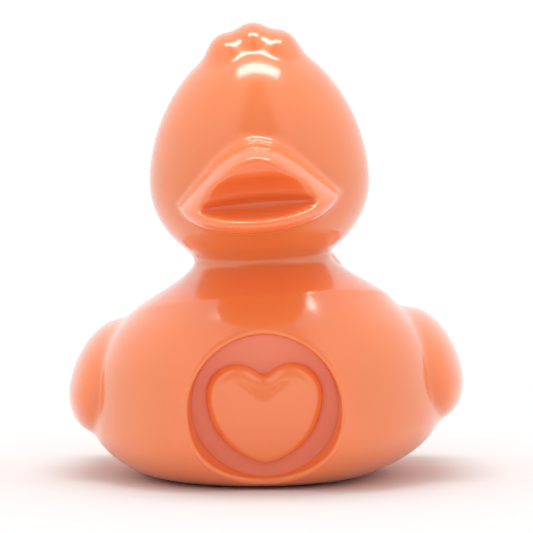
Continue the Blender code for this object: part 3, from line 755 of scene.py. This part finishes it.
mottle = noise(MOTTLE_SCALE, MOTTLE_DETAIL)
speckle = noise(SPECKLE_SCALE, SPECKLE_DETAIL)
colour = add_node(
    tree, "ShaderNodeMix", {"Factor": floor_mask, 6: VINYL_COLOUR, 7: FLOOR_COLOUR}, data_type="RGBA"
).outputs[2]
shade = arithmetic(tree, "MULTIPLY_ADD", mottle, MOTTLE_SHADE, 1.0 - MOTTLE_SHADE / 2)
shaded = add_node(
    tree, "ShaderNodeHueSaturation", {"Color": colour, "Value": shade}
).outputs["Color"]
tree.links.new(shaded, shader.inputs["Base Color"])
gloss = arithmetic(tree, "MULTIPLY_ADD", mottle, MOTTLE_GLOSS, VINYL_ROUGHNESS)
roughness = arithmetic(tree, "MULTIPLY_ADD", floor_mask, FLOOR_ROUGHNESS_ADDED, gloss)
tree.links.new(roughness, shader.inputs["Roughness"])
grain_strength = arithmetic(tree, "MULTIPLY_ADD", floor_mask, FLOOR_GRAIN_ADDED, VINYL_GRAIN)
bump = add_node(
    tree, "ShaderNodeBump", {"Height": speckle, "Strength": grain_strength, "Distance": SPECKLE_HEIGHT * MM}
).outputs["Normal"]
tree.links.new(bump, shader.inputs["Normal"])
shader.inputs["Metallic"].default_value = 0.0
shader.inputs["IOR"].default_value = 1.68
shader.inputs["Subsurface Weight"].default_value = 0.5
shader.inputs["Subsurface Radius"].default_value = (1.0, 0.35, 0.15)
shader.inputs["Subsurface Scale"].default_value = 0.005
shader.inputs["Coat Weight"].default_value = 0.6
shader.inputs["Coat Roughness"].default_value = 0.09
mesh.materials.append(vinyl)
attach(duck, "root")
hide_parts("duck")
print("material:", vinyl.name, "with", len(tree.nodes), "nodes")

# %% [markdown]
# ## The studio
#
# A small glossy product is lit with big soft lights, because it mirrors them. The world is a pale tent, a
# little darker ahead where the camera stands, and one soft box hangs over the duck. The floor is a pale sweep.
# The camera sees the world as white, and the floor fades to the same white round the duck, where it keeps the
# soft shadow.

# %% Floor and backdrop
PAPER_WHITE, PAPER_FADE = 0.80, (0.05, 0.22)
PAPER_HALF_SIZE, PAPER_HEIGHT, PAPER_TICKS = 2.0, -0.0002, 5


def flat_sweep(name, half_size, height):
    """A flat square grid at this height."""
    ticks = np.linspace(-half_size, half_size, PAPER_TICKS)
    x, y = np.meshgrid(ticks, ticks)
    points = np.stack([x, y, np.full_like(x, height)], axis=-1).reshape(-1, 3)
    cells = np.arange(PAPER_TICKS - 1)
    low = (cells[:, None] * PAPER_TICKS + cells).reshape(-1)
    quads = np.stack([low, low + 1, low + PAPER_TICKS + 1, low + PAPER_TICKS], axis=-1)
    sweep = bpy.data.meshes.new(name)
    sweep.from_pydata(points, [], quads.tolist())
    made = bpy.data.objects.new(name, sweep)
    bpy.context.scene.collection.objects.link(made)
    return made


def seen_directly(tree):
    """1 where the camera, a mirror image or a clear body looks, and 0 for the light that falls on things."""
    path = add_node(tree, "ShaderNodeLightPath").outputs
    mirrored = arithmetic(tree, "MAXIMUM", path["Is Glossy Ray"], path["Is Transmission Ray"])
    return arithmetic(tree, "MAXIMUM", path["Is Camera Ray"], mirrored)


def ramp(tree, value, low, high):
    """A smooth step from 0 at low to 1 at high."""
    span = {"Value": value, "From Min": low, "From Max": high}
    return add_node(tree, "ShaderNodeMapRange", span, interpolation_type="SMOOTHSTEP").outputs["Result"]


floor = flat_sweep("floor", PAPER_HALF_SIZE, PAPER_HEIGHT)
paper = bpy.data.materials.new("white_paper")
paper.use_nodes = True
sheet = paper.node_tree
matt = sheet.nodes["Principled BSDF"]
matt.inputs["Base Color"].default_value = (PAPER_WHITE, PAPER_WHITE, PAPER_WHITE, 1.0)
matt.inputs["Roughness"].default_value = 0.9
paper_place = add_node(sheet, "ShaderNodeTexCoord").outputs["Object"]
from_duck = add_node(sheet, "ShaderNodeVectorMath", {0: paper_place}, operation="LENGTH").outputs["Value"]
faded = arithmetic(sheet, "MULTIPLY", ramp(sheet, from_duck, *PAPER_FADE), seen_directly(sheet))
white = add_node(sheet, "ShaderNodeEmission", {"Strength": 1.0}).outputs[0]
mixed = add_node(sheet, "ShaderNodeMixShader", {0: faded, 1: matt.outputs[0], 2: white}).outputs[0]
sheet.links.new(mixed, sheet.nodes["Material Output"].inputs["Surface"])
floor.data.materials.append(paper)
print("floor:", len(floor.data.polygons), "faces")

# %% The world
MIRRORED_FRONT, LIT_FRONT = 0.4, 0.95
FRONT_EDGE_COSINES = (0.80, 0.93)
OVERHEAD_EDGE = (0.12, 0.3)
world = bpy.data.worlds.new("tent")
bpy.context.scene.world = world
world.use_nodes = True
sky = world.node_tree
direction = add_node(sky, "ShaderNodeTexCoord").outputs["Generated"]
parts = add_node(sky, "ShaderNodeSeparateXYZ", {0: direction}).outputs
squares = [arithmetic(sky, "MULTIPLY", part, part) for part in (parts[0], parts[1])]
level = arithmetic(sky, "SQRT", arithmetic(sky, "ADD", *squares))
ahead = arithmetic(sky, "DIVIDE", parts[1], arithmetic(sky, "MULTIPLY", level, -1.0))

# the dark front lies ahead of the duck and ends before it would reach overhead
ahead_share, below_overhead = ramp(sky, ahead, *FRONT_EDGE_COSINES), ramp(sky, level, *OVERHEAD_EDGE)
dark_front = arithmetic(sky, "MULTIPLY", ahead_share, below_overhead)
seen = seen_directly(sky)
front_change = arithmetic(sky, "MULTIPLY_ADD", seen, MIRRORED_FRONT - LIT_FRONT, LIT_FRONT - 1.0)
strength = arithmetic(sky, "MULTIPLY_ADD", dark_front, front_change, 1.0)
sky.nodes["Background"].inputs["Color"].default_value = (1.0, 1.0, 1.0, 1.0)
sky.links.new(strength, sky.nodes["Background"].inputs["Strength"])
print("world:", len(sky.nodes), "nodes")

# %% The soft box
key = bpy.data.lights.new("soft_box", "AREA")
key.shape = "RECTANGLE"
key.size, key.size_y = 0.36, 0.10
key.energy = 0.85
key_object = bpy.data.objects.new("soft_box", key)
key_object.location = (0.0, 0.0, 0.5)
bpy.context.scene.collection.objects.link(key_object)
print("soft box:", key.energy, "W")

# %% The camera
PIXELS = 533
MM_PER_PIXEL = 0.1824
CAMERA_AZIMUTH, CAMERA_ELEVATION, CAMERA_DISTANCE = 0.5, 5.0, 1400.0
BASE_COLUMN, BASE_ROW, BASE_FRONT = 267.5, 488.0, 27.0
SENSOR_WIDTH, CLIP_END = 36.0, 10.0


def aim_camera():
    """A long lens from the photograph's side, whose picture is PIXELS x MM_PER_PIXEL wide at the duck."""
    azimuth_angle, elevation = math.radians(CAMERA_AZIMUTH), math.radians(CAMERA_ELEVATION)
    right = np.array([math.cos(azimuth_angle), math.sin(azimuth_angle), 0.0])
    level_back = np.array([math.sin(azimuth_angle), -math.cos(azimuth_angle), 0.0])
    upright = np.array([0.0, 0.0, 1.0])
    back = level_back * math.cos(elevation) + upright * math.sin(elevation)
    up = upright * math.cos(elevation) - level_back * math.sin(elevation)
    aside, above = (PIXELS / 2 - BASE_COLUMN) * MM_PER_PIXEL, (BASE_ROW - PIXELS / 2) * MM_PER_PIXEL
    target = np.array([0.0, -BASE_FRONT, 0.0]) + right * aside + up * above
    camera = bpy.data.objects.new("camera", bpy.data.cameras.new("camera"))
    camera.data.sensor_width = SENSOR_WIDTH
    camera.data.lens = SENSOR_WIDTH * CAMERA_DISTANCE / (PIXELS * MM_PER_PIXEL)
    camera.data.clip_end = CLIP_END
    camera.location = tuple((target + back * CAMERA_DISTANCE) * MM)
    camera.rotation_euler = (math.pi / 2 - elevation, 0.0, azimuth_angle)
    bpy.context.scene.collection.objects.link(camera)
    bpy.context.scene.camera = camera
    return camera


camera = aim_camera()
bpy.context.scene.view_settings.view_transform = "Standard"
print("camera lens:", round(camera.data.lens, 1), "mm")
